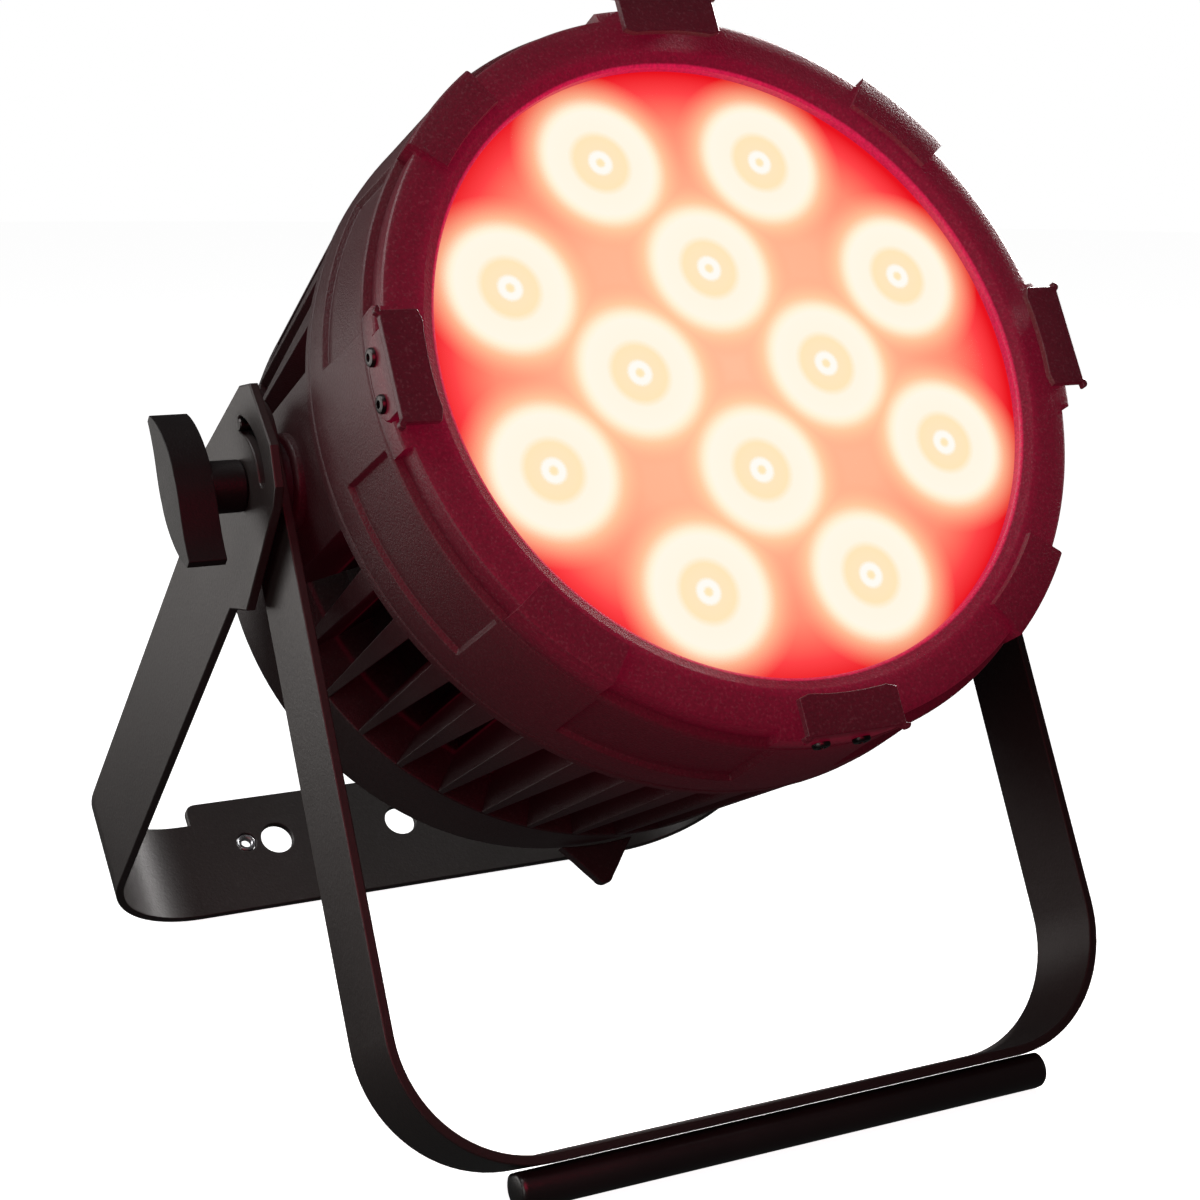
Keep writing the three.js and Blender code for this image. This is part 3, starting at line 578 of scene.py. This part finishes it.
def heat_sink():
    bm = bmesh.new()
    add_turned(bm, ((0, 41.7), (81, 41.7), (81, -52), (86, -52), (86, 29), (120.4, 29), (121, 29.6),
                    (121, 32.4), (120.4, 33), (89, 33), (89, 47.7), (0, 47.7)), 160)
    for i in range(RIBS):
        angle = 360 / RIBS * (i + 0.5)
        if min(abs(angle - 180), angle, 360 - angle) <= CHEEK_HALF_ANGLE:
            continue
        points = []
        for z, half, outer in ((31, 3.7, 120.85), (-52, 1.0, 114.4)):
            points += [(84, -0.9, z), (84, 0.9, z), (outer, half, z), (outer, -half, z)]
        spin = about_z(angle)
        add_faces(bm, [spin @ Vector(p) for p in points],
                  ((0, 1, 2, 3), (4, 5, 6, 7), (0, 1, 5, 4), (1, 2, 6, 5), (2, 3, 7, 6), (3, 0, 4, 7)))
    for centre in (0, 180):
        low, high = centre - CHEEK_HALF_ANGLE, centre + CHEEK_HALF_ANGLE
        side = arc(0, 0, 119.5, low, high, 16) + arc(0, 0, 84, high, low, 6)
        add_prism(bm, side, -30, 31)
        x = 100 if centre == 0 else -121.8
        outline = ((0, 0), (14.3, 0), (15, 0.7), (15, 21.1), (14.3, 21.8), (0, 21.8))
        add_turned(bm, outline, 64, along_x(x))
    finished("heat_sink_visual", bm, HEAD, "head", "head", ["heat_sink"], bevel=0.4)


def rear_cap():
    outer = [(82, -52.3), (113.9, -52.3), (114.4, -52.8)]
    outer += arc(101.5, -96, 7, 0, -90, 10)
    inner = [(0, -103), (0, -100), (101.5, -100), (105.5, -96), (111.4, -55.3), (82, -55.3)]
    bm = bmesh.new()
    add_turned(bm, outer[1:] + inner + outer[:1], 160)
    finished("rear_cap_visual", bm, HEAD, "head", "head", ["rear_cap"], bevel=0.4)


def rear_lug():
    base = 110.1
    half = 14.0
    left = [(-half, -base), (-12.2, -112.2), (-9.4, -115.4), (-6.2, -119.4)]
    left += arc(0, -121.6, 3.4, 205, 270, 5)
    right_side = [(-x, y) for x, y in reversed(left)]
    across = [half - 2 * half * i / 8 for i in range(8)]
    top = [(x, -math.sqrt(base ** 2 + half ** 2 - x ** 2)) for x in across]
    bm = bmesh.new()
    add_prism(bm, left + right_side[1:-1] + top, -88.2, -83.8)
    finished("rear_lug_visual", bm, HEAD, "head", "head", ["rear_lug"], bevel=0.6, steps=3)


# ------------------------------------------------------------------ menu panel and sockets
CAP_BACK = -103.3  # where the sockets and the valve sit, 0.3 clear of the cap's back face


def control_panel():
    back = -106.3
    splines = [rounded(52, 27, 5, cy=34), rounded(26.3, 8.8, 1.2, cy=43)]
    splines += [arc((i - 1.5) * 20, 21, 4.8, 0, 345, 23) for i in range(4)]
    mesh = plate_mesh(splines, 3.0, 0.5)
    bm = bmesh.new()
    bm.from_mesh(mesh)
    bpy.data.meshes.remove(mesh)
    bmesh.ops.translate(bm, vec=(0, 0, back + 1.5), verts=bm.verts)
    finished("control_panel_visual", bm, HEAD, "head", "panel", ["control_panel"])
    bm = bmesh.new()
    add_prism(bm, rounded(26, 8.5, 1.0, cy=43), -105.7, -103.5)
    finished("display_window_visual", bm, HEAD, "head", "display", ["display_window"],
             bevel=0.25)
    for i in range(4):
        bm = bmesh.new()
        place = Matrix.Translation(((i - 1.5) * 20, 21, 0))
        add_turned(bm, ((0, -107.7), (2.8, -107.85), (3.9, -107.6), (4.4, -107.1), (4.5, -106.5),
                        (4.5, -104.7), (0, -104.7)), 40, place)
        finished(f"menu_button_visual_{i + 1}", bm, HEAD, f"button_{i + 1}", "button",
                 [f"menu_button_{i + 1}"])


def sockets():
    """Four round sockets, each a flanged barrel with twelve grip ridges and three pins."""
    top = CAP_BACK
    for name, x, y, radius, length in (("power_in", -60, -32, 11, 15), ("data_in", -25, -48, 9, 13),
                                       ("data_out", 25, -48, 9, 13), ("power_out", 60, -32, 11, 15)):
        barrel, rim = radius - 2, radius + 2.5
        bm = bmesh.new()
        place = Matrix.Translation((x, y, 0))
        end = top - length
        add_turned(bm, ((0, end + 5), (barrel - 2.6, end + 5), (barrel - 1.9, end + 0.5), (barrel - 1.3, end),
                        (barrel - 0.4, end), (barrel, end + 0.5), (barrel, top - 4.4),
                        (barrel + 0.6, top - 3.6), (barrel + 1.4, top - 3), (rim - 0.6, top - 3),
                        (rim, top - 2.4), (rim, top), (0, top)), 64, place)
        for k in range(12):
            ridge = about_z(30 * k)
            add_prism(bm, rounded(0.55, 0.9, 0.4, 2, cx=barrel + 0.1), end + 2.2, top - 5.2, place @ ridge)
        for k in range(3):
            pin = place @ about_z(120 * k + 90) @ Matrix.Translation((radius * 0.28, 0, 0))
            add_turned(bm, ((0, end + 1.2), (0.9, end + 1.5), (1.0, end + 5.2), (0, end + 5.2)), 16, pin)
        finished(f"{name}_socket_visual", bm, HEAD, "head", "socket", [f"{name}_connector"])


def breather_valve():
    bm = bmesh.new()
    place = Matrix.Translation((0, -80, 0))
    add_turned(bm, ((0, -108.0), (2.2, -108.3), (4.8, -108.3), (5.6, -107.7), (6, -106.9), (6, CAP_BACK),
                    (0, CAP_BACK)), 48, place)
    for k in range(8):
        add_prism(bm, rounded(0.5, 0.8, 0.35, 2, cx=5.75), -107.2, -103.6, place @ about_z(45 * k))
    finished("breather_valve_visual", bm, HEAD, "head", "socket", ["breather_valve"])


# ------------------------------------------------------------------ bent strip brackets
STRIP = 3.0  # the strip's thickness


def plate_mesh(splines, thickness, rounding):
    """A flat plate in millimetres, outline first and then its holes, with rounded edges."""
    curve = bpy.data.curves.new("plate", "CURVE")
    curve.dimensions = "2D"
    curve.fill_mode = "BOTH"
    curve.extrude = thickness / 2 - rounding
    curve.bevel_depth = rounding
    curve.bevel_resolution = 1
    curve.offset = -rounding
    for points in splines:
        spline = curve.splines.new("POLY")
        spline.points.add(len(points) - 1)
        for point, (x, y) in zip(spline.points, points):
            point.co = (x, y, 0, 1)
        spline.use_cyclic_u = True
    holder = bpy.data.objects.new("plate", curve)
    bpy.context.scene.collection.objects.link(holder)
    evaluated = holder.evaluated_get(bpy.context.evaluated_depsgraph_get())
    mesh = bpy.data.meshes.new_from_object(evaluated)
    bpy.data.objects.remove(holder)
    bpy.data.curves.remove(curve)
    return mesh


def bent_strap(name, splines, strap, place, body, replaces):
    """Bends a flat strip, drawn as (distance from the bar's middle, width), into the bracket's U."""
    half_span, reach, bend = strap
    mesh = plate_mesh(splines, STRIP, 0.45)
    bm = bmesh.new()
    bm.from_mesh(mesh)
    bpy.data.meshes.remove(mesh)
    bmesh.ops.remove_doubles(bm, verts=bm.verts, dist=1e-3)
    straight = half_span - bend
    radius = bend - STRIP / 2
    steps = 20
    for side in (-1, 1):
        for i in range(steps + 1):
            s = side * (straight + radius * math.pi / 2 * i / steps)
            bmesh.ops.bisect_plane(bm, geom=bm.verts[:] + bm.edges[:] + bm.faces[:], dist=1e-4,
                                   plane_co=(s, 0, 0), plane_no=(1, 0, 0))
    for vert in bm.verts:
        s, w, d = vert.co
        side = 1 if s >= 0 else -1
        run = abs(s) - straight
        if run <= 0:
            x, y, nx, ny = s, -reach + STRIP / 2, 0, -1
        elif run <= radius * math.pi / 2:
            phi = run / radius
            x, y = side * (straight + radius * math.sin(phi)), -reach + bend - radius * math.cos(phi)
            nx, ny = side * math.sin(phi), -math.cos(phi)
        else:
            x, y = side * (straight + radius), -reach + bend + run - radius * math.pi / 2
            nx, ny = side, 0
        vert.co = (x + d * nx, y + d * ny, w)
    finished(name, bm, place, body, "bracket", replaces, sharp=20)


def arm_distance(strap, y):
    """How far along the flat strip a point at height y on the arm lies."""
    half_span, reach, bend = strap
    return half_span - bend + (bend - STRIP / 2) * math.pi / 2 + y + reach - bend


def both_arms(end, at_pivot):
    """The outline of a strip whose two ends are alike. end runs from the -w side to the +w side as (y, w)."""
    return [(at_pivot + y, w) for y, w in end] + [(-at_pivot - y, w) for y, w in reversed(end)]


# Each bracket's half span, its reach from the pivot and the bend's outer radius.
FRONT_STRAP = (128.2, 214.0, 44.0)
REAR_STRAP = (134.4, 260.577, 42.0)
STUD_HOLE = 4.6  # radius
PIN_AT = (16.03, 9.63)  # the stop pin from the pivot, up the front bracket and across it
# The stop pin's slot about the pivot: three radii, half its width, and the angles in degrees of its two ends.
SLOT = {"inner": 16.2, "middle": 18.7, "outer": 21.2, "half": 2.5, "from": 31, "to": -41}
CLAMP_HOLES = (-54, 0, 54)  # along the rear bar
INSERT_X = -67
HOLES_W = -9  # the holes' line across the rear bar


def front_bracket():
    at_pivot = arm_distance(FRONT_STRAP, 0)
    end = [(12 + x, y) for x, y in arc(0, 0, 14.8, -90, 90, 28)]
    splines = [both_arms(end, at_pivot)]
    for side in (-1, 1):
        splines.append(arc(side * at_pivot, 0, STUD_HOLE, 0, 345, 23))
        splines.append(arc(side * (at_pivot + PIN_AT[0]), PIN_AT[1], 2.2, 0, 330, 11))
    bent_strap("front_bracket_visual", splines, FRONT_STRAP, FRONT, "front_bracket", ["front_bracket"])


def slot_outline():
    """The stop pin's curved slot, as (up the arm, across it) from the pivot."""
    start, stop = SLOT["from"], SLOT["to"]
    turn = math.radians(stop)
    far = (SLOT["middle"] * math.cos(turn), SLOT["middle"] * math.sin(turn))
    points = arc(0, 0, SLOT["outer"], start, stop, 20)
    points += arc(*far, SLOT["half"], stop, stop - 180, 8)[1:-1]
    points += arc(0, 0, SLOT["inner"], stop, start, 20)
    points += arc(*PIN_AT, SLOT["half"], start + 180, start, 8)[1:-1]
    return points


def rear_bracket():
    at_pivot = arm_distance(REAR_STRAP, 0)
    end = [(-37, -20), (-25, -28.8), (21.75, -21), (29, -16), (29, 7), (23.2, 18), (17.4, 21), (-25, 28.8),
           (-37, 20)]
    flange = [(-88.0, -20.0)] + arc(-84, -25, 4, 180, 270, 6) + arc(84, -25, 4, 270, 360, 6) + [(88.0, -20.0)]
    splines = [both_arms(end, at_pivot) + flange]
    for side in (-1, 1):
        splines.append(arc(side * at_pivot, 0, STUD_HOLE, 0, 345, 23))
        splines.append([(side * (at_pivot + x), y) for x, y in slot_outline()])
    splines += [arc(x, HOLES_W, 6.5, 0, 352.5, 47) for x in CLAMP_HOLES]
    splines.append(arc(INSERT_X, HOLES_W, 3.9, 0, 345, 23))
    bent_strap("rear_bracket_visual", splines, REAR_STRAP, REAR, "rear_bracket", ["rear_bracket"])
    bm = bmesh.new()
    at = Matrix.Translation((INSERT_X, -REAR_STRAP[1], HOLES_W))
    insert = ((2.0, 0.3), (2.4, 0), (3.2, 0), (3.6, 0.3), (3.6, 2.7), (3.2, 3.0), (2.4, 3.0), (2.0, 2.7))
    add_turned(bm, insert, 32, at @ Matrix.Rotation(math.radians(-90), 4, "X"))
    finished("thread_insert_visual", bm, REAR, "rear_bracket", "steel", ["thread_insert"])


FOOT_Y, FOOT_W = -219.5, 7  # the rod's axis, in the front bracket's frame


def foot():
    """A rubber rod with a flat cut along its top, where it meets the front bracket's bar."""
    radius, sunk, gap = 6, 0.5, 0.3  # sunk is how far the full round would reach into the bar
    flat = math.degrees(math.asin((radius - sunk - gap) / radius))
    section = arc(0, 0, radius, 180 - flat, 360 + flat, 40)
    bm = bmesh.new()
    rings = []
    near = ((93, 1), (94.1, 0.97), (94.7, 0.9), (95, 0.80))
    for x, scale in [(-x, scale) for x, scale in reversed(near)] + list(near):
        rings.append([bm.verts.new((x, FOOT_Y + y * scale, FOOT_W + z * scale)) for z, y in section])
    for a, b in zip(rings, rings[1:]):
        for i in range(len(a)):
            j = (i + 1) % len(a)
            bm.faces.new((a[i], a[j], b[j], b[i]))
    bm.faces.new(rings[0])
    bm.faces.new(rings[-1])
    finished("foot_bar_visual", bm, FRONT, "front_bracket", "foot", ["foot_bar"], sharp=45)


# ------------------------------------------------------------------ pivot hardware
def bezier(p0, p1, p2, p3, steps):
    points = []
    for i in range(steps):
        t = i / steps
        weights = ((1 - t) ** 3, 3 * t * (1 - t) ** 2, 3 * t * t * (1 - t), t ** 3)
        points.append(tuple(sum(w * p[k] for w, p in zip(weights, (p0, p1, p2, p3))) for k in (0, 1)))
    return points


KNOB_LEAN = 40  # degrees the wings lean back from the vertical


def pivot_hardware():
    """On each side: a wing knob, its stud, the friction and spacer washers and the stop pin."""
    half = [(-1.0, 26.0)] + bezier((-1.5, 25.6), (-7, 19.5), (-10, 7.8), (-8, 0), 14)
    half += bezier((-8, 0), (-7, -9.1), (-2.5, -13), (-1.5, -25.6), 14) + [(-1.5, -25.6)]
    wing = half + [(-x, -y) for x, y in half]
    for name, sign in (("left", -1), ("right", 1)):
        bm = bmesh.new()
        hub = ((0, 134.7), (7.6, 134.7), (8, 135.1), (8, 145.7), (0, 145.7))
        stand = Matrix.Rotation(math.radians(90 * sign), 4, "Y")
        add_turned(bm, hub, 48, stand)
        lean = Matrix.Rotation(math.radians(HEAD_TILT - KNOB_LEAN), 4, "X")
        across = Matrix(((0, 0, sign, 0), (0, 1, 0, 0), (-1, 0, 0, 0), (0, 0, 0, 1)))
        add_prism(bm, wing, 145.2, 157.1, lean @ across)
        finished(f"wing_knob_visual_{name}", bm, HEAD, f"knob_{name}", "knob",
                 [f"wing_knob_{name}"], bevel=1.1, steps=3, sharp=40)
        bm = bmesh.new()
        add_turned(bm, ((0, 110), (3.6, 110), (4, 110.6), (4, 134.5), (0, 134.5)), 32, stand)
        finished(f"knob_stud_visual_{name}", bm, HEAD, f"knob_{name}", "dark_steel",
                 [f"knob_stud_{name}"])
        bm = bmesh.new()
        washer = ((4.6, 122.1), (12.6, 122.1), (13, 122.5), (13, 124.5), (12.6, 124.9), (4.6, 124.9))
        add_turned(bm, washer, 64, stand)
        finished(f"friction_washer_visual_{name}", bm, FRONT, "front_bracket", "seal",
                 [f"friction_washer_{name}"])
        bm = bmesh.new()
        spacer = ((4.6, 128.5), (11.6, 128.5), (12, 128.9), (12, 130.7), (11.6, 131.1), (4.6, 131.1))
        add_turned(bm, spacer, 64, stand)
        finished(f"spacer_washer_visual_{name}", bm, FRONT, "front_bracket", "seal",
                 [f"spacer_washer_{name}"])
        bm = bmesh.new()
        rise = Matrix.Translation((0, *PIN_AT)) @ stand
        add_turned(bm, ((0, 125.2), (2, 125.2), (2, 134.8), (1.7, 135.2), (0, 135.2)), 24, rise)
        finished(f"stop_pin_visual_{name}", bm, FRONT, "front_bracket", "dark_steel",
                 [f"stop_pin_{name}"])


bezel()
housing()
holders()
glass_and_lenses()
heat_sink()
rear_cap()
rear_lug()
control_panel()
sockets()
breather_valve()
front_bracket()
rear_bracket()
foot()
pivot_hardware()

for node, look in (("glass_gasket", "seal"), ("lens_plate", "socket"), ("led_board", "board"),
                   ("driver_board", "driver"), ("power_supply", "steel")):
    target = frame["nodes"][node]
    target.data.materials.clear()
    target.data.materials.append(MATERIALS[look])


# ------------------------------------------------------------------ stage and light
def floor():
    bm = bmesh.new()
    add_prism(bm, arc(0, 0, 6000, 0, 354, 59), -20, 0)
    bmesh.ops.scale(bm, vec=(MM, MM, MM), verts=bm.verts)
    mesh = bpy.data.meshes.new("floor")
    bm.to_mesh(mesh)
    bm.free()
    n = Nodes("floor")
    tone = n.ramp(n.noise(3, 2.0), ((0.3, (0.84, 0.84, 0.84)), (0.7, (0.86, 0.86, 0.86))))
    n.link(tone, n.shader.inputs["Base Color"])
    n.shader.inputs["Roughness"].default_value = 0.8
    n.shader.inputs["Specular IOR Level"].default_value = 0.2
    n.shader.inputs["Emission Color"].default_value = (1, 1, 1, 1)
    n.shader.inputs["Emission Strength"].default_value = 0.95
    mesh.materials.append(n.material)
    piece = bpy.data.objects.new("floor", mesh)
    bpy.context.scene.collection.objects.link(piece)
    piece.visible_diffuse = False
    piece.visible_glossy = False


def place_light(name, data, at, towards, power, colour):
    data.energy = power
    data.color = colour
    light = bpy.data.objects.new(name, data)
    bpy.context.scene.collection.objects.link(light)
    light.location = at
    light.rotation_euler = (Vector(towards) - Vector(at)).to_track_quat("-Z", "Y").to_euler()


def area_light(name, at, towards, size, power, colour):
    data = bpy.data.lights.new(name, "AREA")
    data.shape = "RECTANGLE"
    data.size, data.size_y = size
    place_light(name, data, at, towards, power, colour)


def spot_light(name, at, towards, angle, radius, power, colour):
    data = bpy.data.lights.new(name, "SPOT")
    data.spot_size = math.radians(angle)
    data.spot_blend = 1.0
    data.shadow_soft_size = radius
    place_light(name, data, at, towards, power, colour)


floor()
spot_light("key", (1.35, 0.52, 1.0), (0.10, -0.20, 0.38), 31, 0.22, 900, (1, 0.97, 0.96))
area_light("top", (-0.85, 0.15, 1.5), (0, 0, 0.2), (1.1, 1.1), 15, (1, 1, 1))
area_light("back_left", (-1.25, 1.05, 0.12), (-0.1, 0, 0.12), (1.4, 0.8), 8, (1, 0.96, 0.93))
area_light("left", (-1.3, -0.7, 0.35), (-0.1, 0, 0.15), (0.8, 0.8), 3.2, (1, 0.95, 0.92))
area_light("glow", (-0.20, -0.46, 0.33), (-0.05, -0.08, 0.2), (0.25, 0.25), 0.6, (1, 0.02, 0.10))

world = bpy.data.worlds.new("world")
bpy.context.scene.world = world
world.use_nodes = True
background = world.node_tree.nodes["Background"]
background.inputs["Color"].default_value = (1, 1, 1, 1)
rays = world.node_tree.nodes.new("ShaderNodeLightPath")
level_of = world.node_tree.nodes.new("ShaderNodeMapRange")
level_of.inputs["To Min"].default_value = 0.035
level_of.inputs["To Max"].default_value = 1.0
world.node_tree.links.new(rays.outputs["Is Camera Ray"], level_of.inputs["Value"])
world.node_tree.links.new(level_of.outputs["Result"], background.inputs["Strength"])
